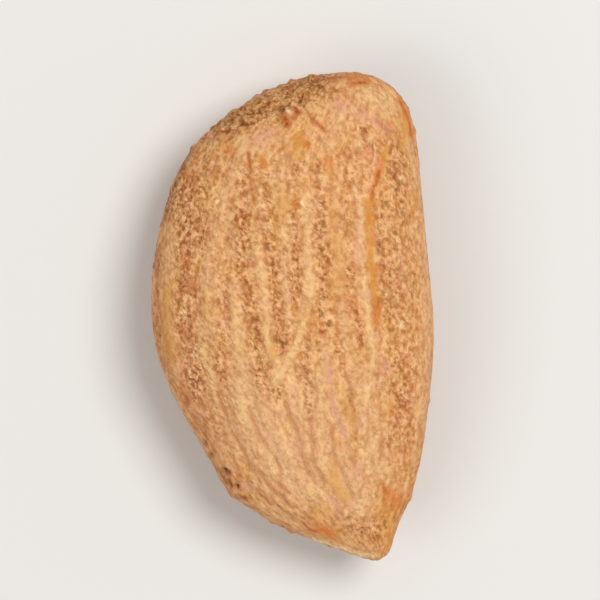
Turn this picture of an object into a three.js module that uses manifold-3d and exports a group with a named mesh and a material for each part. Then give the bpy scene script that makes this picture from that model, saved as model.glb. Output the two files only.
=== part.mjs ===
// An almond kernel in its brown skin, lying on its broad side.
// Millimetres, +Z up. +Y runs along the kernel from its pointed tip to its blunt end, and the
// origin is the middle of the kernel's box at the height of the surface that it lies on.

import * as THREE from "three";
import { mergeVertices } from "three/addons/utils/BufferGeometryUtils.js";
import Module from "manifold-3d";

// Driving dimensions
const HALF_THICKNESS = 4.0; // the skin's height over the rim plane at the thickest section
const FLAT_DEPTH = 0.25; // how much the small flat spot takes off the underside
const RIDGE_HEIGHT = 0.09; // the lengthwise ridges' height over the skin around them
const RIDGE_HALF_WIDTH = 0.05; // as a share of half the kernel's width at that section

// The rim seen from above, from the tip up the full, rounded side to the blunt end and back
// down the straighter side, which was the seam side in the shell.
const RIM = [
  [4.2, -12.0], [2.1, -11.45], [-0.9, -10.2], [-3.2, -8.6], [-4.1, -6.9], [-5.3, -4.9],
  [-6.6, -2.0], [-6.95, 1.2], [-6.4, 4.9], [-5.2, 7.9], [-3.1, 10.0], [-0.2, 11.5],
  [3.1, 12.0], [4.9, 11.3], [5.9, 9.7], [6.35, 6.2], [6.7, 2.2], [6.95, -1.2],
  [6.6, -5.2], [5.9, -8.6], [5.1, -10.5], [4.7, -11.7],
];
const CROWN_AT = 0.5; // where the ridges meet at the blunt end, as a share of the rim's length

// The ridges' places across the kernel, from -1 at the rounded side to 1 at the straight side.
const RIDGE_LANES = [-0.9, -0.58, -0.4, -0.2, 0.1, 0.35, 0.53, 0.78];
const RIDGE_FADE = 0.16; // share of the length over which a ridge dies out at each end

// The half-thickness along the kernel: sin(PI * t^THICKEST_SHIFT)^THICKNESS_FULLNESS, with t
// from 0 at the tip to 1 at the crown, is highest a little nearer the crown than the tip.
const THICKEST_SHIFT = 1.17;
const THICKNESS_FULLNESS = 0.75;

// Mesh density
const SECTIONS = 36; // cross-sections from tip to crown
const SECTION_POINTS = 80; // points round one cross-section
const RIM_SAMPLES = 400; // steps that the rim's length is measured with

const SKIN = { color: "#d29b67", roughness: 0.78, metalness: 0 };

const wasm = await Module();
wasm.setup();

function rimCurve() {
  const points = RIM.map(([x, y]) => new THREE.Vector3(x, y, 0));
  const curve = new THREE.CatmullRomCurve3(points, true, "centripetal");
  curve.arcLengthDivisions = RIM_SAMPLES;
  return curve;
}

// A ridge's height at one place across the kernel and one share of its length.
function ridgeHeight(across, along) {
  const fadeIn = THREE.MathUtils.smoothstep(along, 0, RIDGE_FADE);
  const fadeOut = THREE.MathUtils.smoothstep(1 - along, 0, RIDGE_FADE);
  const bump = (lane) => Math.exp(-(((across - lane) / RIDGE_HALF_WIDTH) ** 2));
  const strongest = Math.max(...RIDGE_LANES.map(bump));
  return RIDGE_HEIGHT * strongest * fadeIn * fadeOut;
}

function halfThickness(along) {
  const wave = Math.sin(Math.PI * along ** THICKEST_SHIFT);
  return HALF_THICKNESS * wave ** THICKNESS_FULLNESS;
}

// One upright cross-section: an ellipse from one side of the rim to the other, with its ridges.
function crossSection(rim, along) {
  const roundSide = rim.getPointAt(CROWN_AT * along);
  const straightSide = rim.getPointAt(1 - (1 - CROWN_AT) * along);
  const height = halfThickness(along);
  return Array.from({ length: SECTION_POINTS }, (_, index) => {
    const angle = (index / SECTION_POINTS) * 2 * Math.PI;
    const across = Math.cos(angle);
    const point = new THREE.Vector3().lerpVectors(roundSide, straightSide, (1 + across) / 2);
    point.z = Math.sin(angle) * (height + ridgeHeight(across, along));
    return point;
  });
}

// Both ends are single points, and the cross-sections crowd towards them.
function kernelVertices() {
  const rim = rimCurve();
  const vertices = [rim.getPointAt(0)];
  for (let section = 1; section < SECTIONS; section += 1) {
    const along = (1 - Math.cos((Math.PI * section) / SECTIONS)) / 2;
    vertices.push(...crossSection(rim, along));
  }
  vertices.push(rim.getPointAt(CROWN_AT));
  return vertices;
}

function kernelFaces() {
  const crown = 1 + (SECTIONS - 1) * SECTION_POINTS;
  const faces = [];
  for (let index = 0; index < SECTION_POINTS; index += 1) {
    const next = (index + 1) % SECTION_POINTS;
    faces.push(0, 1 + index, 1 + next);
    for (let section = 0; section < SECTIONS - 2; section += 1) {
      const near = 1 + section * SECTION_POINTS;
      const far = near + SECTION_POINTS;
      faces.push(near + index, far + index, far + next);
      faces.push(near + index, far + next, near + next);
    }
    faces.push(crown, crown - SECTION_POINTS + next, crown - SECTION_POINTS + index);
  }
  return faces;
}

function kernelGeometry() {
  const geometry = new THREE.BufferGeometry().setFromPoints(kernelVertices());
  geometry.setIndex(kernelFaces());
  return geometry;
}

function toManifold(geometry) {
  geometry.deleteAttribute("normal");
  geometry.deleteAttribute("uv");
  const merged = mergeVertices(geometry);
  const vertProperties = new Float32Array(merged.attributes.position.array);
  const triVerts = new Uint32Array(merged.index.array);
  return new wasm.Manifold(new wasm.Mesh({ numProp: 3, vertProperties, triVerts }));
}

function toGeometry(solid) {
  const { vertProperties, triVerts } = solid.getMesh();
  const geometry = new THREE.BufferGeometry();
  geometry.setAttribute("position", new THREE.BufferAttribute(vertProperties, 3));
  geometry.setIndex(new THREE.BufferAttribute(triVerts, 1));
  return geometry;
}

// The block whose top face leaves the flat spot that the kernel lies on.
function blockUnderFlat() {
  const size = 40;
  const block = new THREE.BoxGeometry(size, size, size);
  block.translate(0, 0, FLAT_DEPTH - HALF_THICKNESS - size / 2);
  return block;
}

// Moves the middle of the box's underside to the origin.
function standOnOrigin(geometry) {
  geometry.computeBoundingBox();
  const { min, max } = geometry.boundingBox;
  geometry.translate(-(min.x + max.x) / 2, -(min.y + max.y) / 2, -min.z);
}

function almondKernel() {
  const solid = toManifold(kernelGeometry()).subtract(toManifold(blockUnderFlat()));
  const geometry = toGeometry(solid);
  standOnOrigin(geometry);
  geometry.computeVertexNormals();
  const mesh = new THREE.Mesh(geometry, new THREE.MeshStandardMaterial(SKIN));
  mesh.name = "almond_kernel";
  return mesh;
}

const almond = new THREE.Group();
almond.name = "almond";
almond.add(almondKernel());

export default almond;
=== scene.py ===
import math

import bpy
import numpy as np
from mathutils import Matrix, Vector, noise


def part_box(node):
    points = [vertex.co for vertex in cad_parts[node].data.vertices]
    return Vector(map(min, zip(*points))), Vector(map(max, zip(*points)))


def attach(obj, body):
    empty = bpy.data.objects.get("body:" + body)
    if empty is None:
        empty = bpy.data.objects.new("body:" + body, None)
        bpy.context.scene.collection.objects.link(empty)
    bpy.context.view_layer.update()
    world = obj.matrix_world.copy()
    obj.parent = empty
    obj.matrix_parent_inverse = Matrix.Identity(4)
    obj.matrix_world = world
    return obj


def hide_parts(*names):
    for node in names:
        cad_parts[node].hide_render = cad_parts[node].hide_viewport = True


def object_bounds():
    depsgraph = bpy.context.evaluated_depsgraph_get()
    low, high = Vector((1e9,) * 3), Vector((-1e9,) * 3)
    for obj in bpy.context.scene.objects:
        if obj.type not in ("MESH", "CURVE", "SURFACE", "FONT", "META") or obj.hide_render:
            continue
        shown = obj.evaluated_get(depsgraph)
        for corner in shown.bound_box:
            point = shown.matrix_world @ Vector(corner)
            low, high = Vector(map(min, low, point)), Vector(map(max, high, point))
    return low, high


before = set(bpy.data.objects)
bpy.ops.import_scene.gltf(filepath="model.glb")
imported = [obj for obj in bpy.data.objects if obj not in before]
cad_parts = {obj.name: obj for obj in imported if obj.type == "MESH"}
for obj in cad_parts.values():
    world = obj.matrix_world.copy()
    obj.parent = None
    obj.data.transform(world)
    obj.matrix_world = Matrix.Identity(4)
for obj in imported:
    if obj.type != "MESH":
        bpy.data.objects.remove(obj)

# An almond kernel in its brown skin, seen from above on a pale floor.
# The skin is a fine copy of the CAD kernel, with its veins, furrows and scar raised and sunk in
# the mesh. Where each mark lies is stored on the mesh, and the material colours it from there.
# Sizes and places on the kernel are in millimetres in the CAD's own frame: +X towards the
# straight side, +Y towards the blunt end. The studio's are in metres.

CAD_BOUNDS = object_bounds()
NODE = "almond_kernel"
MM = 0.001

# The fine mesh, and how its shape is measured
VOXEL = 0.105
SMOOTHING_FACTOR = 0.5
SMOOTHING_STEPS = 14
SECTIONS = 60  # cross-sections in which the kernel's sides are measured
HALF_WIDTH = 7  # about half the kernel's width

# The rim, where the marks of the upper face give way to those of the lower one
RIM_BLEND = 0.7  # half the height over which they do so
RIM_RAGGEDNESS = 0.7
RIM_RAGGED_SIZE = 0.8
BELT_CORE = 0.6  # the rim's warmer belt is full up to this height from it, and then fades
BELT_EDGE = 3.4

# How marks are drawn
LINE_STEPS = 10  # places on a mark's line for each one that is given
MARK_REACH = 2.5  # in half-widths: beyond this a mark is too faint to count
WOBBLE = 0.12  # how far marks are pushed about, so that their edges aren't smooth
WOBBLE_SIZE = 0.7

# The lower face has the upper one's large marks turned over. A place there has the marks that lie
# on the upper face at this share of its Y, plus this shift.
TURNED_SHARE = 0.94
TURNED_SHIFT = 0.3

# Veins and grain bands fade in and out along their length
BREAKS_MEAN = 0.75
BREAKS_SWING = 0.5
BREAKS_SIZE = 0.9
VEIN_FILL = 0.15
GRAIN_FILL = 0.2

# How marks add up where they meet, and the most and least of them
VEIN_LOST_IN_SCAR = 0.8
GRAIN_LOST_ON_VEIN = 0.75
MOST_GRAIN = 0.95
LEAST_GRAIN = 0.12
PIT_FILL = 1.3  # makes the middle of a pit flat

# Relief, as heights over the skin around it
VEIN_HEIGHT = 0.12
GRAIN_DEPTH = 0.12
GRAIN_SIZE = 0.26
GRAIN_SINKING = 0.4  # how far the grains lie below the skin, as a share of their depth
STREAK_HEIGHT = 0.025
STREAK_SIZE = 0.5
STREAK_SHAPE = (1, 0.14, 1)  # drawn out lengthwise
SCAR_HEIGHT = 0.15
SCAR_SIZE = 0.42
SCAR_GRIT = 0.6
SCAR_GRIT_SIZE = 0.22
FURROW_DEPTH = 0.04
PIT_DEPTH = 0.16
EDGE_BUMP_HEIGHT = 0.13
ROUGHNESS_HEIGHT = 0.05
ROUGHNESS_SIZE = 0.36
STRAIGHT_SIDE = (0.5, 0.9)  # where the smoother straight side begins and is full, across
STRAIGHT_SIDE_SMOOTHNESS = 0.85
UNDULATION = 0.05
UNDULATION_SIZE = 2.6

# Each noise in the mesh is taken in a place of its own, so that no two are alike
NOISE_PLACES = {
    "breaks": 2.2, "crosswise": 3.1, "grains": 9.0, "grit": 6.0, "lengthwise": 8.4,
    "lumps": 1.0, "rim": 12.0, "roughness": 7.0, "streaks": 5.0, "waves": 4.0,
}
NOISE_SKEW = 2.7

# Marks, as seen from above. Each is a line of places, its half-width and its strength.
VEINS = [
    ([(-5.9, 4.2), (-6.1, 2.5), (-6.15, 1.0), (-6.1, 0.0), (-5.95, -1.5), (-5.6, -3.0)], 0.3, 0.5),
    ([(-0.6, 8.7), (-2.2, 8.3), (-3.0, 6.8), (-3.5, 5.2), (-3.8, 3.6), (-4.1, 2.0), (-4.15, 0.4),
      (-4.05, -1.0)], 0.4, 0.62),
    ([(-3.3, 4.8), (-3.0, 4.0), (-2.8, 3.0)], 0.3, 0.4),
    ([(-2.95, 1.6), (-2.75, 0.2), (-2.65, -1.2), (-2.55, -2.6), (-2.45, -4.0), (-2.3, -5.4),
      (-1.6, -6.6)], 0.4, 0.85),
    ([(-1.75, 3.3), (-1.55, 2.2), (-1.4, 1.0), (-1.25, 0.0), (-1.3, -0.8)], 0.25, 0.95),
    ([(-1.3, -0.8), (-1.15, -1.5), (-0.85, -2.1), (-0.6, -2.7)], 0.19, 1.1),
    ([(-0.6, 3.2), (-0.4, 2.0), (-0.35, 1.0), (-0.15, 0.0)], 0.18, 0.7),
    ([(0.85, 5.4), (0.75, 4.4), (0.7, 3.0), (0.8, 2.0), (0.75, 1.0), (0.6, 0.0)], 0.28, 0.95),
    ([(0.6, 0.0), (0.35, -1.0), (0.0, -1.8), (-0.45, -2.5), (-0.8, -3.2)], 0.24, 1.15),
    ([(-0.4, 7.6), (-0.6, 6.4), (-0.55, 5.2), (-0.5, 4.2)], 0.3, 0.5),
    ([(2.0, 6.6), (2.1, 5.4), (2.15, 4.0)], 0.3, 0.4),
    ([(2.2, 3.6), (2.25, 2.2), (2.35, 0.8), (2.5, -0.6), (2.75, -2.0), (2.95, -3.2)], 0.3, 0.65),
    ([(3.3, 5.2), (3.32, 4.2), (3.35, 3.0), (3.45, 1.8)], 0.2, 0.75),
    ([(3.45, 1.8), (3.6, 0.6), (3.75, -0.6), (3.85, -1.8), (3.75, -3.0), (3.5, -4.2)], 0.23, 1.0),
    ([(1.5, -1.3), (1.75, -2.2), (1.95, -3.2), (2.15, -4.4), (2.5, -5.4)], 0.2, 0.7),
    ([(2.5, -3.9), (2.75, -4.8), (3.0, -5.6)], 0.22, 0.7),
    ([(-1.5, -4.4), (-1.0, -5.6), (-0.2, -6.6), (0.2, -7.8), (0.9, -8.8)], 0.32, 0.75),
    ([(0.3, -3.4), (0.5, -4.6), (0.3, -5.8), (0.7, -7.0)], 0.25, 0.8),
    ([(1.2, -3.2), (1.4, -4.6), (1.3, -6.0), (1.4, -7.2), (2.1, -8.2), (2.6, -9.0)], 0.28, 0.8),
    ([(2.2, -6.2), (2.7, -7.4), (3.2, -8.8)], 0.22, 0.6),
    ([(-3.2, -4.8), (-2.4, -6.4), (-1.2, -8.0), (0.2, -9.3)], 0.25, 0.5),
    ([(-1.6, -8.2), (-0.4, -9.2), (0.8, -9.4)], 0.35, 0.4),
    ([(6.1, 7.5), (6.3, 5.0), (6.45, 2.5), (6.6, 0.0), (6.55, -2.5), (6.35, -5.0), (6.0, -7.2)],
     0.3, 0.5),
]
GRAINS = [
    ([(-6.7, 3.2), (-6.75, 1.0), (-6.6, -1.2)], 0.2, 0.6),
    ([(-5.6, 7.0), (-5.4, 5.0), (-5.3, 3.0), (-5.2, 1.3), (-5.3, -0.4), (-5.0, -2.0),
      (-4.7, -3.6)], 0.62, 1.0),
    ([(-4.6, 6.6), (-4.5, 4.6), (-4.6, 3.2)], 0.6, 0.8),
    ([(-3.3, 1.6), (-3.4, 0.2), (-3.35, -1.2), (-3.6, -2.4), (-3.5, -3.4)], 0.35, 0.75),
    ([(-2.5, 5.2), (-2.5, 4.0), (-2.5, 2.8), (-2.4, 1.6), (-2.2, 0.4)], 0.48, 0.95),
    ([(-1.8, -0.2), (-1.85, -1.4), (-1.7, -2.8), (-1.4, -3.9)], 0.35, 0.9),
    ([(-1.3, -2.6), (-1.0, -3.4), (-0.6, -3.8)], 0.4, 0.8),
    ([(-1.2, 4.6), (-1.1, 3.4), (-0.9, 2.2), (-0.85, 1.0), (-0.7, 0.0), (-0.5, -1.0),
      (-0.6, -1.8)], 0.33, 0.85),
    ([(0.1, 5.4), (0.15, 4.0), (0.1, 2.8), (0.15, 1.6), (0.1, 0.8)], 0.34, 0.9),
    ([(1.3, 5.4), (1.35, 3.8), (1.55, 2.6), (1.5, 1.4), (1.5, 0.2), (1.5, -0.6)], 0.4, 1.0),
    ([(1.2, -1.2), (0.6, -1.9), (0.6, -2.8), (0.75, -3.8), (0.7, -4.8)], 0.42, 0.75),
    ([(2.1, -0.8), (2.2, -2.0), (2.5, -2.8), (2.9, -4.2)], 0.22, 0.6),
    ([(2.5, 5.8), (2.6, 4.6), (2.6, 3.6)], 0.3, 0.55),
    ([(2.8, 2.2), (2.75, 1.2), (3.0, 0.4), (3.2, -0.6), (3.2, -1.6)], 0.3, 0.85),
    ([(4.5, 5.8), (4.4, 4.6), (4.4, 3.2), (4.5, 2.0)], 0.3, 0.75),
    ([(4.9, 8.0), (5.1, 6.6), (5.1, 5.0), (4.8, 3.6), (4.8, 2.2), (4.85, 0.8), (5.0, -0.6),
      (5.2, -2.0), (5.3, -3.4), (5.3, -4.8), (5.2, -6.0)], 0.7, 0.6),
    ([(5.8, 4.5), (5.9, 2.0), (5.9, -0.5), (5.9, -3.0)], 0.4, 0.4),
    ([(-2.6, 7.0), (-2.3, 6.0)], 0.5, 0.7),
    ([(-3.6, 7.6), (-3.4, 6.6)], 0.4, 0.5),
    ([(-1.2, 7.2), (-1.3, 6.0), (-1.2, 5.2)], 0.35, 0.7),
    ([(0.3, 7.6), (0.1, 6.4)], 0.3, 0.6),
    ([(1.2, 7.4), (1.3, 6.4)], 0.35, 0.7),
    ([(2.9, 7.8), (2.8, 6.6)], 0.35, 0.6),
    ([(3.4, 9.1), (3.7, 8.5)], 0.35, 0.8),
    ([(0.5, 11.1), (1.6, 11.1), (2.2, 10.9)], 0.35, 0.5),
    ([(2.7, -10.1), (3.6, -10.6), (4.3, -10.3)], 0.6, 0.75),
    ([(-4.1, -4.6), (-3.6, -5.8)], 0.5, 0.45),
]
GRAIN_FIELDS = [
    ([(-4.2, 7.2), (-4.4, 4.0), (-4.4, 0.0), (-3.6, -3.4)], 2.2, 0.38),
    ([(-1.4, 6.6), (-0.8, 3.0), (-0.4, -1.0)], 1.8, 0.4),
    ([(2.6, 7.4), (2.4, 3.0), (2.0, -1.0)], 1.4, 0.26),
    ([(5.2, 8.0), (5.2, 4.0), (5.4, 0.0), (5.4, -5.0)], 1.0, 0.38),
]
GOLD = [
    ([(-6.1, 1.5), (-6.15, 0.2), (-6.15, -0.8), (-5.95, -2.0)], 0.25, 0.6),
    ([(2.0, 5.4), (2.1, 4.4), (2.2, 3.4), (2.2, 2.2), (2.25, 1.0)], 0.3, 0.38),
    ([(4.6, 8.2), (4.45, 7.7)], 0.14, 0.85),
    ([(3.65, 5.6), (3.7, 4.6), (3.75, 3.6), (3.8, 2.6), (3.95, 1.9), (3.95, 1.4), (4.05, 0.8)],
     0.18, 1.0),
    ([(0.3, 8.6), (0.2, 7.8)], 0.35, 0.55),
    ([(-0.5, 5.8), (-0.5, 4.8)], 0.35, 0.4),
    ([(5.45, 9.9), (5.5, 9.2), (5.5, 8.5)], 0.25, 0.6),
    ([(2.0, -7.2), (2.1, -8.2), (2.5, -8.9)], 0.32, 0.6),
    ([(1.2, -9.6), (1.6, -9.5)], 0.35, 0.5),
    ([(2.5, -4.1), (2.7, -4.7), (2.9, -5.3)], 0.22, 0.6),
    ([(4.75, -4.2), (4.75, -4.8)], 0.18, 0.6),
    ([(3.2, -1.6), (3.3, -2.2)], 0.3, 0.35),
    ([(-1.0, -1.5), (-0.9, -1.9)], 0.18, 0.5),
    ([(5.95, 6.0), (6.1, 5.4)], 0.2, 0.6),
    ([(1.5, 7.3), (1.8, 7.0)], 0.3, 0.4),
    ([(4.5, -9.6), (4.8, -10.6)], 0.5, 0.45),
    ([(-4.2, 0.7), (-4.2, 0.1)], 0.35, 0.35),
    ([(0.6, 0.1), (0.9, 0.0)], 0.3, 0.4),
]
AMBER = [
    ([(4.4, 7.6), (4.25, 7.05), (4.1, 6.65), (3.85, 6.3), (3.75, 6.0)], 0.13, 0.9),
    ([(3.78, 6.2), (3.8, 5.6)], 0.1, 0.8),
    ([(3.75, 4.9), (3.8, 4.5)], 0.1, 0.5),
    ([(3.85, 4.1), (3.9, 3.5)], 0.11, 0.7),
    ([(4.0, 2.3), (4.0, 2.0)], 0.12, 0.7),
    ([(4.15, 0.7), (4.1, 0.0), (4.1, -0.3)], 0.19, 0.85),
    ([(0.5, 8.45), (0.8, 8.3)], 0.2, 0.6),
    ([(1.6, 7.8), (1.85, 7.3)], 0.15, 0.75),
    ([(-3.3, 8.2), (-3.0, 8.1)], 0.22, 0.6),
    ([(-1.48, 7.8), (-1.45, 7.3)], 0.12, 0.85),
    ([(0.0, 5.6), (0.15, 5.4)], 0.16, 0.7),
    ([(2.9, 11.45), (3.7, 11.42)], 0.16, 1.0),
    ([(2.6, 11.75), (3.6, 11.8)], 0.25, 0.8),
    ([(5.25, 10.6), (5.55, 10.1), (5.75, 9.5), (5.9, 8.8)], 0.13, 1.0),
    ([(4.85, 9.5), (4.9, 9.4)], 0.15, 0.7),
    ([(1.25, -10.45), (1.7, -10.65), (2.1, -10.8)], 0.3, 0.9),
    ([(4.6, -8.6), (4.9, -9.1), (5.4, -9.1)], 0.3, 0.65),
    ([(2.0, -5.9), (2.3, -6.2)], 0.2, 0.5),
    ([(6.3, -5.6), (6.35, -5.9)], 0.12, 0.6),
    ([(-3.2, -8.1), (-2.9, -8.5)], 0.12, 0.9),
    ([(2.7, 1.0), (2.9, 0.7)], 0.25, 0.5),
    ([(1.3, -0.2), (1.35, -0.3)], 0.14, 0.6),
    ([(2.3, 5.9), (2.8, 6.3)], 0.15, 0.5),
]
RUSSET = [
    ([(-2.15, 7.9), (-2.1, 7.5), (-2.05, 7.05)], 0.11, 1.0),
    ([(-2.0, 6.6), (-1.95, 6.1), (-1.9, 5.7)], 0.13, 0.65),
    ([(-0.4, 9.7), (-0.25, 9.35)], 0.19, 1.2),
    ([(0.1, 10.15), (0.2, 9.95)], 0.18, 1.2),
    ([(0.8, 9.8), (1.2, 9.45), (1.6, 9.0)], 0.1, 1.0),
    ([(-0.5, 9.9), (-0.1, 10.0), (0.2, 10.3), (0.4, 10.6)], 0.1, 0.8),
    ([(0.9, 8.1), (0.95, 7.7)], 0.09, 0.6),
    ([(2.4, 8.05), (2.65, 7.75)], 0.11, 0.8),
    ([(4.3, 7.1), (4.2, 6.8), (4.0, 6.5), (3.85, 6.3)], 0.09, 0.75),
    ([(3.8, 6.05), (3.84, 5.7)], 0.08, 0.75),
    ([(4.0, 4.6), (4.02, 4.0), (4.05, 3.4)], 0.07, 0.5),
    ([(4.15, 0.9), (4.12, 0.5)], 0.09, 0.5),
    ([(2.7, 6.35), (2.8, 6.2)], 0.1, 0.6),
    ([(-4.7, 4.6), (-4.6, 4.3)], 0.2, 0.5),
    ([(-4.95, 1.7), (-4.8, 1.3)], 0.22, 0.6),
    ([(-5.5, -0.4), (-5.2, -1.0)], 0.2, 0.55),
    ([(1.65, 2.6), (1.7, 2.3)], 0.12, 0.6),
    ([(1.7, 1.7), (1.7, 1.4)], 0.15, 0.6),
    ([(2.6, 1.8), (2.95, 1.7)], 0.12, 0.5),
    ([(-5.2, -4.0), (-5.1, -4.3)], 0.2, 0.5),
    ([(-4.4, -5.4), (-4.3, -5.7)], 0.2, 0.5),
    ([(0.5, -10.1), (0.75, -10.4), (1.1, -10.65)], 0.09, 0.9),
    ([(0.6, -9.6), (1.0, -10.0)], 0.07, 0.7),
    ([(4.5, -8.1), (4.6, -8.7)], 0.09, 0.7),
    ([(1.75, -5.1), (2.1, -5.5)], 0.09, 0.6),
    ([(2.7, -3.9), (3.0, -4.7)], 0.07, 0.8),
    ([(4.0, 9.5), (4.6, 9.15), (5.0, 9.0)], 0.09, 0.5),
    ([(1.9, 10.95), (2.4, 10.95)], 0.09, 0.6),
    ([(1.2, 11.72), (2.3, 11.68)], 0.1, 0.9),
    ([(3.0, 11.45), (3.6, 11.42)], 0.08, 0.8),
    ([(5.3, 10.5), (5.6, 9.9), (5.75, 9.4), (5.8, 8.9)], 0.07, 0.65),
    ([(-2.35, -8.85), (-2.25, -8.95)], 0.1, 0.9),
    ([(-6.7, 2.6), (-6.75, 2.0)], 0.1, 0.5),
    ([(-5.5, 7.5), (-5.4, 7.0)], 0.15, 0.7),
    ([(-0.5, 11.1), (-0.2, 11.2)], 0.15, 0.5),
    ([(0.7, 10.8), (0.8, 10.5)], 0.1, 0.5),
]
MAUVE = [
    ([(-1.6, 8.7), (-1.2, 9.0)], 0.3, 0.6),
    ([(0.6, 9.0), (0.75, 8.8)], 0.12, 0.7),
    ([(2.0, 10.3), (2.6, 10.1)], 0.3, 0.5),
    ([(3.1, 10.0), (3.7, 9.6), (4.3, 9.3)], 0.15, 0.6),
    ([(4.6, 9.2), (4.55, 9.1)], 0.12, 0.6),
    ([(-4.3, 9.0), (-4.0, 9.0)], 0.15, 0.6),
    ([(3.2, 4.4), (3.15, 3.4), (3.2, 2.4)], 0.12, 0.6),
    ([(2.5, 5.5), (2.4, 4.9)], 0.1, 0.5),
    ([(-0.3, 1.0), (-0.3, 0.7)], 0.12, 0.5),
    ([(1.5, -1.9), (1.7, -2.6), (1.8, -3.2)], 0.14, 0.7),
    ([(1.85, -3.6), (1.95, -4.3), (2.1, -4.8), (2.4, -5.5), (2.7, -5.9)], 0.1, 0.7),
    ([(3.2, -5.0), (3.2, -5.3)], 0.16, 0.5),
    ([(1.6, -8.8), (2.0, -9.1), (2.2, -9.6)], 0.1, 0.9),
    ([(1.0, -7.7), (1.4, -8.4)], 0.1, 0.4),
    ([(-0.6, -4.8), (-0.4, -4.9)], 0.2, 0.5),
    ([(-1.2, -5.9), (-1.0, -6.0)], 0.2, 0.4),
    ([(-2.5, -8.3), (-2.1, -8.3)], 0.2, 0.6),
    ([(0.2, -6.2), (0.3, -6.5)], 0.4, 0.4),
    ([(3.1, -7.5), (3.2, -7.8)], 0.3, 0.45),
    ([(4.5, -2.2), (4.5, -2.6)], 0.3, 0.45),
    ([(3.6, 1.2), (3.7, 0.9)], 0.15, 0.6),
]
FURROWS = [
    ([(-0.5, 8.7), (-0.35, 8.1), (0.0, 7.5)], 0.08, 0.8),
    ([(-0.35, 7.8), (0.0, 7.1), (0.35, 6.3)], 0.08, 0.7),
    ([(1.35, 8.5), (1.6, 8.0)], 0.08, 0.7),
    ([(-1.7, 6.6), (-1.3, 6.2), (-1.2, 5.8)], 0.08, 0.7),
    ([(3.2, 9.0), (3.65, 8.8), (3.8, 8.4)], 0.08, 0.8),
    ([(3.0, 8.3), (3.5, 8.0)], 0.08, 0.6),
    ([(-2.45, 1.3), (-2.1, 0.9), (-2.2, 0.4)], 0.08, 0.8),
    ([(-2.2, 3.0), (-1.8, 2.8)], 0.08, 0.7),
    ([(0.2, -2.4), (0.5, -2.7)], 0.08, 0.8),
    ([(-0.7, -8.1), (-0.45, -8.4), (-0.2, -8.7)], 0.08, 0.9),
    ([(-0.95, -8.4), (-0.7, -8.7)], 0.08, 0.7),
    ([(-1.9, -7.3), (-1.5, -7.7), (-1.2, -7.9)], 0.08, 0.6),
    ([(0.7, -7.0), (1.1, -7.9)], 0.1, 0.6),
    ([(-0.6, -9.5), (0.0, -9.9)], 0.08, 0.6),
    ([(2.6, -2.8), (2.9, -3.8), (3.05, -4.8), (3.3, -5.4)], 0.09, 0.6),
    ([(-4.7, -4.0), (-4.4, -4.6)], 0.09, 0.9),
    ([(-4.4, -3.9), (-4.05, -4.7), (-3.9, -5.2)], 0.09, 0.8),
    ([(-3.5, -4.2), (-3.25, -4.8), (-3.1, -5.4)], 0.09, 0.7),
    ([(2.6, -6.2), (2.9, -6.8), (3.0, -7.3)], 0.1, 0.6),
    ([(-2.1, -4.4), (-1.8, -5.4), (-1.3, -6.3), (-0.6, -7.4)], 0.11, 0.8),
    ([(-0.3, -4.2), (0.0, -5.2), (0.35, -6.0), (0.5, -7.0), (1.1, -8.2)], 0.11, 0.8),
    ([(0.9, -5.0), (0.95, -6.2), (1.0, -7.0), (1.6, -8.2)], 0.11, 0.8),
    ([(1.9, -5.6), (2.0, -6.6), (2.5, -7.8), (3.0, -9.0)], 0.1, 0.75),
    ([(4.2, -4.2), (4.3, -5.6), (4.4, -6.8)], 0.09, 0.55),
    ([(3.6, -4.8), (3.8, -6.4), (4.0, -7.8)], 0.09, 0.5),
    ([(-3.0, -5.6), (-2.2, -6.9), (-1.2, -8.3), (-0.2, -9.2)], 0.1, 0.7),
    ([(-3.9, -5.4), (-3.0, -7.2), (-1.8, -8.7)], 0.09, 0.6),
    ([(-2.0, -2.6), (-1.9, -3.8), (-1.6, -4.8)], 0.1, 0.6),
    ([(1.1, -2.6), (1.15, -3.8), (1.0, -4.8)], 0.09, 0.6),
    ([(-6.65, 3.0), (-6.72, 1.2), (-6.6, -0.8), (-6.3, -2.2)], 0.09, 0.5),
]
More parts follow.
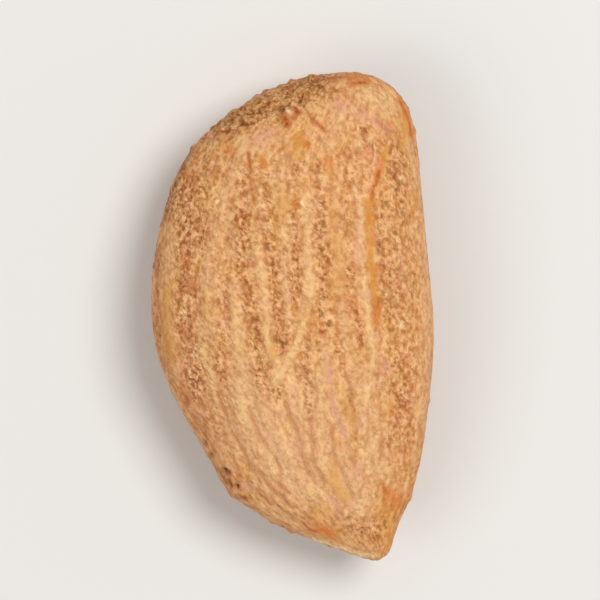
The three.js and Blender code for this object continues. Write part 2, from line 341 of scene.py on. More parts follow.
PITS = [
    ([(-0.62, 10.1), (-0.5, 10.12)], 0.14, 1.0),
    ([(-2.55, 9.4), (-2.3, 9.4)], 0.12, 1.0),
    ([(-1.75, 9.95), (-1.7, 9.9)], 0.1, 0.7),
    ([(-3.3, 9.1), (-3.2, 9.1)], 0.1, 0.6),
    ([(0.3, 10.5), (0.4, 10.6)], 0.1, 0.6),
    ([(-1.85, -0.17), (-1.75, -0.2)], 0.13, 0.7),
    ([(-1.3, 3.4), (-1.25, 3.38)], 0.1, 0.7),
    ([(-3.35, -7.55), (-3.25, -7.75)], 0.13, 1.0),
    ([(-2.78, -8.3), (-2.74, -8.32)], 0.1, 1.0),
    ([(-3.2, -8.1), (-3.05, -8.35)], 0.08, 0.6),
    ([(2.7, -9.95), (2.75, -9.95)], 0.09, 0.6),
    ([(3.4, -10.7), (3.5, -10.8)], 0.1, 0.55),
    ([(2.8, -10.4), (2.85, -10.4)], 0.08, 0.5),
    ([(-0.85, -1.1), (-0.75, -1.2)], 0.1, 0.6),
    ([(-4.3, -6.25), (-4.25, -6.35)], 0.1, 0.6),
    ([(-4.05, -6.8), (-4.0, -6.85)], 0.1, 0.6),
    ([(-2.8, 5.35), (-2.78, 5.35)], 0.09, 0.5),
    ([(-2.82, 4.9), (-2.75, 4.9)], 0.09, 0.5),
    ([(-2.3, 1.68), (-2.28, 1.66)], 0.09, 0.6),
    ([(-2.15, 1.4), (-2.13, 1.4)], 0.08, 0.5),
    ([(-3.25, 3.7), (-3.22, 3.7)], 0.09, 0.5),
    ([(-0.2, 4.4), (-0.18, 4.4)], 0.09, 0.6),
    ([(5.0, 6.82), (5.03, 6.8)], 0.1, 0.55),
    ([(5.3, 6.5), (5.35, 6.5)], 0.09, 0.5),
    ([(5.1, 6.2), (5.1, 6.15)], 0.08, 0.5),
    ([(5.4, 5.1), (5.5, 5.0)], 0.09, 0.5),
    ([(4.25, 3.6), (4.35, 3.4)], 0.09, 0.55),
    ([(4.4, 5.42), (4.42, 5.4)], 0.09, 0.5),
    ([(1.1, 6.9), (1.12, 6.9)], 0.09, 0.6),
]
# Painted shade along the left and lower-left rim, the side turned away from the light, and partly
# a thin dark crust of skin there.
RIM_SHADE_AND_CRUST = [
    ([(-5.0, 8.2), (-5.4, 7.5), (-5.9, 6.2), (-6.25, 5.2), (-6.5, 4.5)], 0.13, 0.8),
    ([(-6.7, 3.4), (-6.85, 2.2)], 0.1, 0.4),
    ([(-3.7, -7.4), (-3.3, -8.2)], 0.08, 0.5),
    ([(-2.7, -8.7), (-2.3, -9.0)], 0.08, 0.5),
]
# Paler skin with painted light on it: lighter bands in the lower third, and brighter skin along
# the right edge and at the top right, where the light falls strongest.
PALE_AND_LIT_AREAS = [
    ([(-2.2, -3.4), (-1.6, -5.4), (-0.4, -7.4), (0.9, -8.6)], 1.1, 0.9),
    ([(0.4, -3.6), (1.2, -5.6), (2.2, -7.6), (2.9, -9.2)], 1.1, 0.95),
    ([(3.6, -3.4), (3.9, -5.6), (4.2, -7.6)], 0.9, 0.6),
    ([(-4.3, -1.4), (-4.0, -3.6), (-3.0, -6.6)], 0.7, 0.55),
    ([(-1.6, -9.3), (0.2, -10.2), (2.6, -11.2), (3.8, -11.5)], 0.35, 0.5),
    ([(5.9, 8.2), (6.3, 5.0), (6.6, 1.6), (6.6, -2.6), (6.3, -5.4)], 0.45, 0.35),
    ([(2.2, 9.4), (3.6, 10.4), (4.8, 9.6)], 0.9, 0.4),
]
PALE = [
    ([(0.6, 5.4), (0.7, 4.9)], 0.18, 0.4),
    ([(3.15, 5.9), (3.3, 5.2)], 0.12, 0.25),
    ([(-1.6, 2.4), (-1.5, 2.0)], 0.2, 0.5),
    ([(-1.45, 1.0), (-1.4, 0.6)], 0.18, 0.6),
    ([(-2.4, 8.7), (-2.5, 8.2)], 0.2, 0.5),
    ([(-0.4, -2.4), (-0.7, -2.8)], 0.2, 0.6),
    ([(1.0, 10.2), (0.8, 10.1)], 0.2, 0.5),
    ([(1.8, 8.4), (2.1, 8.3)], 0.2, 0.45),
    ([(3.5, 11.0), (4.3, 10.7), (4.8, 10.3)], 0.45, 0.45),
    ([(3.5, -3.5), (3.4, -3.9)], 0.15, 0.5),
    ([(-2.5, -3.3), (-2.4, -4.6)], 0.4, 0.3),
    ([(1.4, -3.6), (1.4, -4.4)], 0.25, 0.4),
]
CREAM = [
    ([(1.0, -11.05), (2.4, -11.4), (3.2, -11.65), (4.0, -11.8)], 0.15, 0.7),
    ([(5.25, -0.45), (5.3, -0.4)], 0.15, 1.0),
    ([(-0.3, 10.12), (-0.15, 10.05)], 0.13, 0.9),
    ([(0.2, 10.4), (0.35, 10.25)], 0.1, 0.6),
    ([(0.5, 5.5), (0.5, 5.4)], 0.11, 0.8),
    ([(-1.6, 5.42), (-1.58, 5.4)], 0.13, 0.7),
    ([(-1.55, 6.05), (-1.55, 6.0)], 0.1, 0.5),
    ([(-3.72, 5.66), (-3.7, 5.62)], 0.1, 0.8),
    ([(-0.12, 4.58), (-0.1, 4.55)], 0.1, 0.9),
    ([(-0.05, 4.95), (-0.05, 4.9)], 0.09, 0.5),
    ([(-5.45, 0.17), (-5.4, 0.15)], 0.11, 0.8),
    ([(1.5, -0.1), (1.6, -0.2)], 0.11, 0.8),
    ([(1.3, 6.75), (1.3, 6.7)], 0.1, 0.6),
    ([(3.78, 8.66), (3.8, 8.6)], 0.1, 0.7),
    ([(5.23, 6.78), (5.25, 6.75)], 0.08, 0.6),
    ([(4.3, -0.75), (4.3, -0.8)], 0.1, 0.5),
    ([(-4.7, 4.0), (-4.65, 3.95)], 0.1, 0.5),
]
SCAR = [
    ([(-4.2, 9.2), (-2.6, 9.8), (-1.2, 10.3), (0.0, 10.8), (1.2, 11.4)], 0.85, 1.0),
]
EDGE_BUMPS = [
    ([(-3.05, -8.75), (-2.9, -8.75)], 0.35, 1.0),
    ([(-0.2, -10.65), (-0.1, -10.7)], 0.16, 0.9),
    ([(-1.1, -10.15), (-1.0, -10.2)], 0.16, 0.5),
    ([(-4.2, -6.8), (-4.15, -6.9)], 0.2, 0.5),
    ([(-4.95, 8.3), (-4.9, 8.35)], 0.16, 0.9),
    ([(-3.15, 10.0), (-3.05, 10.05)], 0.15, 0.7),
    ([(-1.95, 10.85), (-1.8, 10.9)], 0.16, 0.8),
    ([(-1.4, 11.1), (-1.3, 11.15)], 0.15, 1.0),
    ([(-0.1, 11.55), (-0.05, 11.6)], 0.14, 1.0),
    ([(0.8, 11.8), (1.0, 11.85)], 0.2, 0.7),
    ([(5.35, 10.95), (5.4, 10.85)], 0.14, 0.7),
    ([(5.75, 10.25), (5.8, 10.15)], 0.14, 0.7),
    ([(5.85, -8.9), (5.8, -9.0)], 0.2, 0.5),
    ([(6.8, -4.15), (6.8, -4.25)], 0.12, 0.6),
]

# Colours of the skin, as screen values from 0 to 255
SKIN_MID = (224, 158, 94)
SKIN_LIGHT = (238, 182, 120)
BAND_COLOUR = (210, 142, 80)
BAND_ROSE = (206, 126, 84)
STREAK_COLOUR = (186, 112, 56)
# Furrow colour: partly the skin's own darker lines, partly painted shade in the sunk furrows
FURROW_LINE_AND_SHADE_COLOUR = (180, 114, 72)
VEIN_COLOUR = (238, 192, 130)
# Grain colours: dark gaps that are partly painted shade in the dips, and pale crests that are
# partly painted highlights
GRAIN_DARK_AND_SHADE = (134, 68, 16)
GRAIN_PALE_AND_HIGHLIGHT = (250, 202, 148)
STRAW_COLOUR = (238, 184, 104)
ROSE_COLOUR = (222, 144, 104)
OLIVE_COLOUR = (204, 166, 98)
PINK_COLOUR = (224, 150, 112)
GOLD_COLOUR = (208, 140, 44)
BORDER_COLOUR = (198, 128, 96)
AMBER_COLOUR = (208, 114, 34)
RUSSET_COLOUR = (168, 70, 20)
MAUVE_COLOUR = (218, 154, 130)
PIT_COLOUR = (110, 40, 4)
CREAM_COLOUR = (255, 224, 168)
PALE_COLOUR = (234, 196, 140)
# Lit colours: paler skin with painted light in it
LIT_COLOUR = (246, 208, 152)
LIT_ROSE = (234, 184, 140)
BELT_COLOUR = (198, 122, 56)
# Painted shade at the left rim, partly a dark crust of skin
RIM_SHADE_AND_CRUST_COLOUR = (104, 52, 20)
SCAR_LIGHT = (216, 164, 98)
SCAR_DARK = (158, 104, 48)

FLOOR_COLOUR = (226, 224, 220)
WORLD_COLOUR = (255, 255, 255)


# ---- the mesh ----

def numbers_from(items, name, width):
    values = np.empty(len(items) * width)
    items.foreach_get(name, values)
    return values.reshape(-1, width)


def box_of(places):
    return places.min(0), places.max(0)


def fit_to_box(places, low, high):
    """Stretches the places so that they fill the box from low to high exactly."""
    own_low, own_high = box_of(places)
    return low + (places - own_low) * (high - low) / (own_high - own_low)


def fine_copy():
    """An even, fine mesh of the CAD kernel, in millimetres, with its facets smoothed away."""
    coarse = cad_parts[NODE].data.copy()
    coarse.transform(Matrix.Scale(1 / MM, 4))
    shaper = bpy.data.objects.new("shaper", coarse)
    bpy.context.scene.collection.objects.link(shaper)
    remesh = shaper.modifiers.new("even", "REMESH")
    remesh.mode = "VOXEL"
    remesh.voxel_size = VOXEL
    smooth = shaper.modifiers.new("smooth", "SMOOTH")
    smooth.factor = SMOOTHING_FACTOR
    smooth.iterations = SMOOTHING_STEPS
    evaluated = shaper.evaluated_get(bpy.context.evaluated_depsgraph_get())
    mesh = bpy.data.meshes.new_from_object(evaluated)
    bpy.data.objects.remove(shaper)
    mesh.materials.clear()
    return mesh


# ---- marks on the kernel ----

def smooth_line(points):
    """Close points on a Catmull-Rom curve through the given ones."""
    ends = np.array(points)
    knots = np.vstack([2 * ends[0] - ends[1], ends, 2 * ends[-1] - ends[-2]])
    share = np.linspace(0, 1, LINE_STEPS, endpoint=False)[:, None]
    line = []
    for before, start, end, after in zip(knots, knots[1:], knots[2:], knots[3:]):
        bend = 2 * before - 5 * start + 4 * end - after
        twist = 3 * start - before - 3 * end + after
        line.append(start + ((end - before) * share + bend * share**2 + twist * share**3) / 2)
    return np.vstack(line + [ends[-1:]])


def painted(marks, places):
    """How strongly the marks cover each place: with a mark's own strength along its line, and
    less and less to its sides."""
    cover = np.zeros(len(places))
    for points, half_width, strength in marks:
        line = smooth_line(points)
        reach = MARK_REACH * half_width
        near = np.all((places > line.min(0) - reach) & (places < line.max(0) + reach), axis=1)
        gap = places[near, None, :] - line[None]
        closest = (gap**2).sum(2).min(1)
        cover[near] = np.maximum(cover[near], strength * np.exp(-closest / half_width**2))
    return cover


def noise_at(places, size, name):
    """Noise from about -1 to 1, with lumps of about the given size."""
    seed = NOISE_PLACES[name]
    shift = Vector((seed, NOISE_SKEW * seed, -seed))
    return np.array([noise.noise(Vector(place) / size + shift) for place in places.tolist()])


def smoothstep(values, low, high):
    share = np.clip((values - low) / (high - low), 0, 1)
    return share * share * (3 - 2 * share)


def section_sides(places):
    """For each place, the middle and half-width of the kernel's cross-section there."""
    low, high = box_of(places)
    stations = np.linspace(low[1], high[1], SECTIONS)
    rows = np.digitize(places[:, 1], stations)
    left = np.array([places[rows == row, 0].min() for row in range(1, len(stations))])
    right = np.array([places[rows == row, 0].max() for row in range(1, len(stations))])
    centres = (stations[1:] + stations[:-1]) / 2
    middle = np.interp(places[:, 1], centres, (left + right) / 2)
    half = np.interp(places[:, 1], centres, (right - left) / 2)
    return middle, half


class Skin:
    """The marks at every vertex of the fine mesh."""

    def __init__(self, places):
        self.places = places
        self.from_rim = places[:, 2] - places[places[:, 0].argmin(), 2]
        ragged = self.from_rim + RIM_RAGGEDNESS * noise_at(places, RIM_RAGGED_SIZE, "rim")
        self.upper = smoothstep(ragged, -RIM_BLEND, RIM_BLEND)
        middle, half = section_sides(places)
        self.across = (places[:, 0] - middle) / half
        wobble = [noise_at(places, WOBBLE_SIZE, name) for name in ("crosswise", "lengthwise")]
        self.top_view = places[:, :2] + WOBBLE * np.stack(wobble, 1)
        x, y = self.top_view.T
        turned = [middle - (x - middle), TURNED_SHARE * y + TURNED_SHIFT]
        self.turned_view = np.stack(turned, 1)

    def both_faces(self, marks):
        """Marks of the upper face, and their likeness, turned over, on the lower one."""
        top = painted(marks, self.top_view)
        under = painted(marks, self.turned_view)
        return self.upper * top + (1 - self.upper) * under

    def upper_face(self, marks):
        return self.upper * painted(marks, self.top_view)

    def belt(self):
        """The warmer skin all round the kernel, on both sides of its rim."""
        return 1 - smoothstep(np.abs(self.from_rim), BELT_CORE, BELT_EDGE)

    def fields(self):
        """How strong each kind of mark is at every vertex, from 0 to about 1."""
        breaks = BREAKS_MEAN + BREAKS_SWING * noise_at(self.places, BREAKS_SIZE, "breaks")
        vein = np.clip(self.both_faces(VEINS) * (breaks + VEIN_FILL), 0, 1)
        scar = self.both_faces(SCAR)
        grain = np.clip(self.both_faces(GRAINS) * (breaks + GRAIN_FILL), 0, MOST_GRAIN)
        sparse = np.maximum(self.both_faces(GRAIN_FIELDS), LEAST_GRAIN)
        all_grain = np.maximum(np.maximum(grain, sparse), scar)
        return {
            "vein": vein * (1 - VEIN_LOST_IN_SCAR * scar),
            "grain": all_grain * (1 - GRAIN_LOST_ON_VEIN * vein),
            "scar": scar,
            "furrow": self.upper_face(FURROWS),
            "gold": self.upper_face(GOLD),
            "amber": self.upper_face(AMBER),
            "russet": self.upper_face(RUSSET),
            "mauve": self.upper_face(MAUVE),
            "pale": self.upper_face(PALE),
            "cream": self.upper_face(CREAM),
            "pit": np.clip(PIT_FILL * self.upper_face(PITS), 0, 1),
            "rim_shade_and_crust": self.upper_face(RIM_SHADE_AND_CRUST),
            "belt": self.belt(),
            "pale_and_lit_area": self.both_faces(PALE_AND_LIT_AREAS),
        }

    def streak_space(self):
        """Places in which lengthwise lines of the skin run straight along Y."""
        across = self.across * HALF_WIDTH
        return np.stack([across, self.places[:, 1], self.places[:, 2]], 1)

    def relief(self, fields):
        """How far each vertex moves out of the smooth kernel."""
        streaks = noise_at(self.streak_space() * STREAK_SHAPE, STREAK_SIZE, "streaks")
        grains = noise_at(self.places, GRAIN_SIZE, "grains")
        grit = SCAR_GRIT * noise_at(self.places, SCAR_GRIT_SIZE, "grit")
        lumps = noise_at(self.places, SCAR_SIZE, "lumps") + grit
        roughness = noise_at(self.places, ROUGHNESS_SIZE, "roughness")
        straight_side = smoothstep(self.across, *STRAIGHT_SIDE)
        height = UNDULATION * noise_at(self.places, UNDULATION_SIZE, "waves")
        height += VEIN_HEIGHT * fields["vein"]
        height += STREAK_HEIGHT * streaks * (1 - fields["scar"])
        height += GRAIN_DEPTH * fields["grain"] * (grains - GRAIN_SINKING)
        height += SCAR_HEIGHT * fields["scar"] * lumps
        height -= FURROW_DEPTH * fields["furrow"]
        height -= PIT_DEPTH * fields["pit"]
        height += EDGE_BUMP_HEIGHT * painted(EDGE_BUMPS, self.places[:, :2])
        height += ROUGHNESS_HEIGHT * roughness * (1 - STRAIGHT_SIDE_SMOOTHNESS * straight_side)
        return height


def store(mesh, name, values):
    attribute = mesh.attributes.new(name, "FLOAT", "POINT")
    attribute.data.foreach_set("value", values.astype(np.float32))


def almond_skin():
    mesh = fine_copy()
    low, high = (np.array(corner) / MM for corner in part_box(NODE))
    places = fit_to_box(numbers_from(mesh.vertices, "co", 3), low, high)
    mesh.vertices.foreach_set("co", places.ravel())
    mesh.update()
    normals = numbers_from(mesh.vertices, "normal", 3)
    skin = Skin(places)
    fields = skin.fields()
    places = places + normals * skin.relief(fields)[:, None]
    places[:, 2] = np.maximum(places[:, 2], 0)
    places = fit_to_box(places, low, high) * MM
    mesh.vertices.foreach_set("co", places.ravel())
    for name, values in fields.items():
        store(mesh, name, values)
    streaks = mesh.attributes.new("streak_space", "FLOAT_VECTOR", "POINT")
    streaks.data.foreach_set("vector", skin.streak_space().astype(np.float32).ravel())
    mesh.shade_smooth()
    mesh.update()
    piece = bpy.data.objects.new("almond_skin", mesh)
    bpy.context.scene.collection.objects.link(piece)
    return piece


# ---- materials ----

# Noises of the skin: the size of their lumps, their detail and their roughness
PATCH_NOISE = (1.6, 3.0, 0.6)
HUE_NOISE = (1.1, 3.0, 0.6)
TINT_NOISE = (0.6, 3.0, 0.65)
SPECKLE_NOISE = (0.45, 2.0, 0.6)
DARK_STREAK_NOISE = (0.36, 3.0, 0.6)
LIGHT_STREAK_NOISE = (0.42, 3.0, 0.6)
ROSE_NOISE = (1.0, 3.0, 0.6)
GRAIN_NOISE = (0.2, 1.0, 0.5)
WEAVE_NOISE = (0.34, 2.0, 0.55)
CRUMB_NOISE = (0.3, 2.0, 0.5)
CRACK_NOISE = (0.3, 1.0, 0.5)

# Pebbles, the cells of which the grain bands are made
PEBBLE_SIZE = 0.22
PEBBLE_WARP = (0.25, 0.08)  # the size of the lumps that push them about, and how far

# How patterns are drawn out. The slanted ones are then turned, and the tints' is turned only so
# that it doesn't repeat the hues'.
SLANT = -45
TINT_TURN = 90
SLANTED_SHAPE = (1.35, 1.0, 1.0)
DRAWN_OUT_SHAPE = (1, 1.5, 1)
LENGTHWISE_SHAPE = (1, 6, 1)
LIGHT_STREAK_SHAPE = (1.3, 1, 1)

# Spans. Each gives the value of its noise or mark at which something begins, and that at which
# it is full. Where there are four numbers, the last two say how strong it is at those values.
PATCHES = (0.36, 0.64)
GROUND_TINTS = [
    ("hues", (0.53, 0.68, 0.0, 0.7), STRAW_COLOUR),
    ("hues", (0.47, 0.32, 0.0, 0.7), ROSE_COLOUR),
    ("tints", (0.53, 0.7, 0.0, 0.7), MAUVE_COLOUR),
    ("speckle", (0.5, 0.66, 0.0, 0.6), OLIVE_COLOUR),
    ("speckle", (0.5, 0.34, 0.0, 0.6), PINK_COLOUR),
    ("tints", (0.47, 0.32, 0.0, 0.7), GOLD_COLOUR),
]
STREAKS = (0.52, 0.66, 0.0, 0.6)
LIT_YELLOW = (0.42, 0.58)
BAND_ROSINESS = (0.46, 0.62)
VEIN_BORDER = (0.12, 0.25, 0.0, 0.5)
CRUST = (0.42, 0.58)
CRACK_WIDTH = (0.22, 0.0)
CRACKED_PLACES = (0.38, 0.56)
BEAD_WIDTH = (0.45, 0.1)
BEADED_PEBBLES = (0.4, 0.95)
WOVEN_BY_SMOOTHNESS = (0.0, 1.0, 1.0, 0.4)
DARK_WEAVE = (0.49, 0.36, 0.0, 0.5)
LIGHT_WEAVE = (0.51, 0.64, 0.0, 0.42)
DARK_GRAINS = (0.48, 0.36, 0.0, 0.82)
LIGHT_GRAINS = (0.53, 0.68, 0.0, 0.6)
LIGHT_BY_SCAR = (0.0, 1.0, 1.0, 0.5)
RIM_SHADE_AND_CRUST_BREAKS = (0.3, 0.5, 0.35, 1.0)
RAGGED_MARKS = (0.36, 0.56, 0.4, 1.0)
ROUGHNESS = (0.3, 0.7, 0.62, 0.46)

# How much of each colour is mixed in where its mark is full
BELT_SHARE = 0.48
PALE_AND_LIT_SHARE = 0.78
BAND_SHARE = 0.6
VEIN_SHARE = 0.88
SCAR_SHARE = 0.75
CRACK_SHARE = 0.6
BEAD_SHARE = 0.5
GRAIN_EVERYWHERE = 0.28
GRAIN_IN_BANDS = 0.72

# The bump, with the share that each pattern has in it
BUMP_STRENGTH = 0.8
BUMP_DISTANCE = 0.14 * MM
BUMP_EVERYWHERE = 0.3
BUMP_GRAINS = 0.7
BUMP_CRACKS = -0.12
BUMP_BEADS = 0.09
BUMP_PEBBLED = 1.2
BUMP_STREAKS = -0.4
BUMP_WEAVE = 0.5

SPECULAR_LEVEL = 0.14
FLOOR_ROUGHNESS = 0.9


def linear(colour):
    """A screen colour from 0 to 255 as the linear values that a shader takes."""
    shares = [value / 255 for value in colour]
    return [c / 12.92 if c <= 0.04045 else ((c + 0.055) / 1.055) ** 2.4 for c in shares] + [1.0]


class Paint:
    """Adds the nodes of one material, and links what it is given."""

    def __init__(self, name):
        self.material = bpy.data.materials.new(name)
        self.material.use_nodes = True
        self.tree = self.material.node_tree
        self.shader = self.tree.nodes["Principled BSDF"]

    def put(self, socket, value):
        if isinstance(value, bpy.types.NodeSocket):
            self.tree.links.new(value, socket)
        else:
            socket.default_value = value

    def node(self, kind, inputs, **settings):
        node = self.tree.nodes.new(kind)
        for name, value in settings.items():
            setattr(node, name, value)
        for name, value in inputs.items():
            self.put(node.inputs[name], value)
        return node

    def vector_maths(self, operation, inputs):
        return self.node("ShaderNodeVectorMath", inputs, operation=operation).outputs[0]

    def millimetres(self):
        place = self.node("ShaderNodeTexCoord", {}).outputs["Object"]
        return self.vector_maths("SCALE", {0: place, "Scale": 1 / MM})

    def stored(self, name):
        return self.node("ShaderNodeAttribute", {}, attribute_name=name).outputs["Fac"]

    def stored_place(self, name):
        return self.node("ShaderNodeAttribute", {}, attribute_name=name).outputs["Vector"]

    def noise(self, place, size, detail, rough):
        inputs = {"Vector": place, "Scale": 1 / size, "Detail": detail, "Roughness": rough}
        return self.node("ShaderNodeTexNoise", inputs).outputs["Fac"]

    def warped(self, place, size, reach):
        """Places pushed about by noise, so that a pattern's shapes lose their regularity."""
        inputs = {"Vector": place, "Scale": 1 / size}
        push = self.node("ShaderNodeTexNoise", inputs).outputs["Color"]
        centred = self.vector_maths("SUBTRACT", {0: push, 1: (0.5, 0.5, 0.5)})
        moved = self.vector_maths("SCALE", {0: centred, "Scale": 2 * reach})
        return self.vector_maths("ADD", {0: place, 1: moved})

    def edges(self, place, size):
        """Distance from the nearest edge between cells, in cells."""
        inputs = {"Vector": place, "Scale": 1 / size}
        node = self.node("ShaderNodeTexVoronoi", inputs, feature="DISTANCE_TO_EDGE")
        return node.outputs["Distance"]

    def cells(self, place, size):
        """Distance from the middle of the nearest cell, in cells, and a random value per cell."""
        inputs = {"Vector": place, "Scale": 1 / size}
        node = self.node("ShaderNodeTexVoronoi", inputs)
        value = self.node("ShaderNodeSeparateColor", {"Color": node.outputs["Color"]}).outputs[0]
        return node.outputs["Distance"], value

    def turned(self, place, angle, stretch=(1, 1, 1)):
        """Places in which a pattern is drawn out by the stretch, then turned by the angle."""
        inputs = {"Vector": place, "Rotation": (0, 0, math.radians(angle)), "Scale": stretch}
        return self.node("ShaderNodeMapping", inputs, vector_type="TEXTURE").outputs[0]

    def spread(self, value, low, high, to_low=0.0, to_high=1.0):
        """The value drawn out from the span between low and high to that of the other two."""
        inputs = {
            "Value": value, "From Min": low, "From Max": high, "To Min": to_low, "To Max": to_high,
        }
        return self.node("ShaderNodeMapRange", inputs).outputs[0]

    def maths(self, operation, first, second):
        return self.node("ShaderNodeMath", {0: first, 1: second}, operation=operation).outputs[0]

    def times(self, first, second):
        return self.maths("MULTIPLY", first, second)

    def plus(self, first, second):
        return self.maths("ADD", first, second)

    def larger(self, first, second):
        return self.maths("MAXIMUM", first, second)

    def mix(self, share, under, over):
        node = self.node("ShaderNodeMix", {}, data_type="RGBA")
        self.put(node.inputs["Factor"], share)
        for socket, colour in (("A", under), ("B", over)):
            value = linear(colour) if isinstance(colour, tuple) else colour
            target = [s for s in node.inputs if s.name == socket and s.type == "RGBA"][0]
            self.put(target, value)
        return [s for s in node.outputs if s.type == "RGBA"][0]


def ground_colour(paint, place, drawn_out):
    """The skin between its marks: tan, with patches of paler, yellower and pinker skin."""
    noises = {
        "hues": paint.noise(drawn_out, *HUE_NOISE),
        "tints": paint.noise(paint.turned(drawn_out, TINT_TURN), *TINT_NOISE),
        "speckle": paint.noise(drawn_out, *SPECKLE_NOISE),
    }
    patches = paint.spread(paint.noise(place, *PATCH_NOISE), *PATCHES)
    colour = paint.mix(patches, SKIN_MID, SKIN_LIGHT)
    for name, span, tint in GROUND_TINTS:
        colour = paint.mix(paint.spread(noises[name], *span), colour, tint)
    return colour


def lined_colour(paint, colour, lengthwise, dark_streaks, vein, grain):
    """The lengthwise lines: dark and light streaks, dull granular bands and pale veins."""
    shifted = paint.turned(lengthwise, 0, LIGHT_STREAK_SHAPE)
    light_streaks = paint.noise(shifted, *LIGHT_STREAK_NOISE)
    colour = paint.mix(paint.spread(light_streaks, *STREAKS), colour, VEIN_COLOUR)
    colour = paint.mix(paint.spread(dark_streaks, *STREAKS), colour, STREAK_COLOUR)
    # Painted light over the paler areas, in lit yellow and lit rose
    lit = paint.mix(paint.spread(light_streaks, *LIT_YELLOW), LIT_ROSE, LIT_COLOUR)
    colour = paint.mix(paint.times(paint.stored("pale_and_lit_area"), PALE_AND_LIT_SHARE), colour, lit)
    rosiness = paint.spread(paint.noise(lengthwise, *ROSE_NOISE), *BAND_ROSINESS)
    band = paint.mix(rosiness, BAND_COLOUR, BAND_ROSE)
    colour = paint.mix(paint.times(grain, BAND_SHARE), colour, band)
    border = paint.times(vein, paint.maths("SUBTRACT", 1.0, vein))
    colour = paint.mix(paint.spread(border, *VEIN_BORDER), colour, BORDER_COLOUR)
    return paint.mix(paint.times(vein, VEIN_SHARE), colour, VEIN_COLOUR)


def skin_material():
    paint = Paint("almond_skin")
    place = paint.millimetres()
    streak_place = paint.stored_place("streak_space")
    vein, grain, scar = (paint.stored(name) for name in ("vein", "grain", "scar"))

    slanted = paint.turned(place, SLANT, SLANTED_SHAPE)
    drawn_out = paint.turned(streak_place, 0, DRAWN_OUT_SHAPE)
    lengthwise = paint.turned(streak_place, 0, LENGTHWISE_SHAPE)
    dark_streaks = paint.noise(lengthwise, *DARK_STREAK_NOISE)
    grains = paint.noise(slanted, *GRAIN_NOISE)
    weave = paint.noise(drawn_out, *WEAVE_NOISE)
    crumbs = paint.noise(place, *CRUMB_NOISE)
    pebbles = paint.warped(slanted, *PEBBLE_WARP)
    cracked = paint.spread(paint.noise(place, *CRACK_NOISE), *CRACKED_PLACES)
    crack = paint.times(paint.spread(paint.edges(pebbles, PEBBLE_SIZE), *CRACK_WIDTH), cracked)
    middle, value = paint.cells(pebbles, PEBBLE_SIZE)
    beaded = paint.spread(value, *BEADED_PEBBLES)
    bead = paint.times(paint.spread(middle, *BEAD_WIDTH), beaded)

    colour = ground_colour(paint, place, drawn_out)
    colour = paint.mix(paint.times(paint.stored("belt"), BELT_SHARE), colour, BELT_COLOUR)
    colour = lined_colour(paint, colour, lengthwise, dark_streaks, vein, grain)
    crust = paint.mix(paint.spread(crumbs, *CRUST), SCAR_DARK, SCAR_LIGHT)
    colour = paint.mix(paint.times(scar, SCAR_SHARE), colour, crust)

    smooth = paint.larger(vein, paint.stored("pale_and_lit_area"))
    woven = paint.spread(smooth, *WOVEN_BY_SMOOTHNESS)
    for span, weave_colour in ((DARK_WEAVE, STREAK_COLOUR), (LIGHT_WEAVE, GRAIN_PALE_AND_HIGHLIGHT)):
        colour = paint.mix(paint.times(paint.spread(weave, *span), woven), colour, weave_colour)
    # Painted shade along the left rim, partly a dark crust, broken up by the crumbs noise
    rim_shade_and_crust = paint.times(paint.stored("rim_shade_and_crust"), paint.spread(crumbs, *RIM_SHADE_AND_CRUST_BREAKS))
    colour = paint.mix(rim_shade_and_crust, colour, RIM_SHADE_AND_CRUST_COLOUR)

    # The grains' dips and the cracks between pebbles are darkened, partly as painted shade in
    # these hollows; their crests and the beads are lightened, partly as painted highlights. The
    # bump raises and sinks the same places.
    dark = paint.larger(paint.spread(grains, *DARK_GRAINS), paint.times(crack, CRACK_SHARE))
    light = paint.larger(paint.spread(grains, *LIGHT_GRAINS), paint.times(bead, BEAD_SHARE))
    light = paint.times(light, paint.spread(scar, *LIGHT_BY_SCAR))
    strength = paint.plus(paint.times(grain, GRAIN_IN_BANDS), GRAIN_EVERYWHERE)
    colour = paint.mix(paint.times(dark, strength), colour, GRAIN_DARK_AND_SHADE)
    colour = paint.mix(paint.times(light, strength), colour, GRAIN_PALE_AND_HIGHLIGHT)
    ragged = paint.spread(grains, *RAGGED_MARKS)
    # Among these marks, the furrow colour is partly painted shade in the sunk furrows.
    for name, mark_colour in (
        ("mauve", MAUVE_COLOUR), ("gold", GOLD_COLOUR), ("pale", PALE_COLOUR),
        ("amber", AMBER_COLOUR), ("russet", RUSSET_COLOUR), ("furrow", FURROW_LINE_AND_SHADE_COLOUR),
        ("cream", CREAM_COLOUR), ("pit", PIT_COLOUR),
    ):
        colour = paint.mix(paint.times(paint.stored(name), ragged), colour, mark_colour)

    relief = paint.plus(paint.times(crack, BUMP_CRACKS), paint.times(bead, BUMP_BEADS))
    relief = paint.plus(paint.times(grains, BUMP_GRAINS), relief)
    relief = paint.times(relief, paint.plus(grain, BUMP_EVERYWHERE))
    relief = paint.times(relief, BUMP_PEBBLED)
    relief = paint.plus(relief, paint.times(dark_streaks, BUMP_STREAKS))
    relief = paint.plus(relief, paint.times(weave, BUMP_WEAVE))
    bump = {"Height": relief, "Strength": BUMP_STRENGTH, "Distance": BUMP_DISTANCE}
    normal = paint.node("ShaderNodeBump", bump).outputs[0]
    paint.put(paint.shader.inputs["Base Color"], colour)
    paint.put(paint.shader.inputs["Roughness"], paint.spread(crumbs, *ROUGHNESS))
    paint.put(paint.shader.inputs["Specular IOR Level"], SPECULAR_LEVEL)
    paint.put(paint.shader.inputs["Normal"], normal)
    return paint.material


def floor_material():
    paint = Paint("pale_floor")
    paint.put(paint.shader.inputs["Base Color"], linear(FLOOR_COLOUR))
    paint.put(paint.shader.inputs["Roughness"], FLOOR_ROUGHNESS)
    return paint.material


# ---- the studio ----

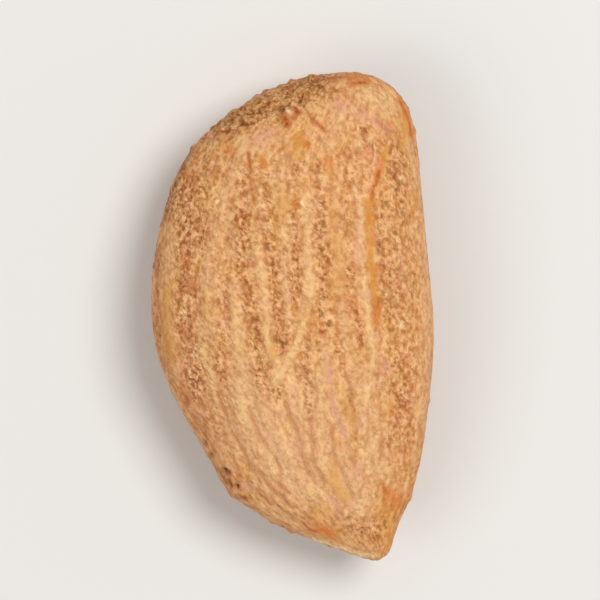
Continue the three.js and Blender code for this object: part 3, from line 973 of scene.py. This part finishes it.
FLOOR_SIZE = 1.2
CAMERA_DISTANCE = 0.30
VIEW_WIDTH = 0.02945  # what the picture takes in at the height of the kernel's rim
VIEW_CENTRE = (0.00037, 0.0008)  # from the kernel's middle
SENSOR_WIDTH = 36  # in millimetres, as the lens is
NEAREST_SEEN = 0.01
LIGHTS = [  # name, place, diameter, power in watts; each is aimed at the kernel
    ("key", (0.16, 0.09, 0.36), 0.2, 0.96),
    ("fill", (-0.28, -0.14, 0.35), 0.3, 0.45),
]
WORLD_STRENGTH = 0.47


def floor():
    half = FLOOR_SIZE / 2
    corners = [(-half, -half, 0), (half, -half, 0), (half, half, 0), (-half, half, 0)]
    mesh = bpy.data.meshes.new("floor")
    mesh.from_pydata(corners, [], [(0, 1, 2, 3)])
    mesh.materials.append(floor_material())
    plane = bpy.data.objects.new("floor", mesh)
    bpy.context.scene.collection.objects.link(plane)


def camera():
    """Looks straight down. The kernel's rim is about halfway up its height."""
    low, high = CAD_BOUNDS
    lens = bpy.data.cameras.new("camera")
    lens.sensor_width = SENSOR_WIDTH
    lens.lens = SENSOR_WIDTH * CAMERA_DISTANCE / VIEW_WIDTH
    lens.clip_start = NEAREST_SEEN
    holder = bpy.data.objects.new("camera", lens)
    holder.location = (
        (low[0] + high[0]) / 2 + VIEW_CENTRE[0],
        (low[1] + high[1]) / 2 + VIEW_CENTRE[1],
        (low[2] + high[2]) / 2 + CAMERA_DISTANCE,
    )
    bpy.context.scene.collection.objects.link(holder)
    bpy.context.scene.camera = holder


def soft_light(name, place, size, power):
    lamp = bpy.data.lights.new(name, "AREA")
    lamp.shape = "DISK"
    lamp.size = size
    lamp.energy = power
    holder = bpy.data.objects.new(name, lamp)
    holder.location = place
    holder.rotation_euler = (-Vector(place)).to_track_quat("-Z", "Y").to_euler()
    bpy.context.scene.collection.objects.link(holder)


def studio():
    floor()
    camera()
    for light in LIGHTS:
        soft_light(*light)
    world = bpy.data.worlds.new("studio")
    world.use_nodes = True
    background = world.node_tree.nodes["Background"]
    background.inputs["Color"].default_value = linear(WORLD_COLOUR)
    background.inputs["Strength"].default_value = WORLD_STRENGTH
    bpy.context.scene.world = world
    bpy.context.scene.view_settings.view_transform = "Standard"


studio()
almond = almond_skin()
almond.data.materials.append(skin_material())
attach(almond, "root")
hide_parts(NODE)
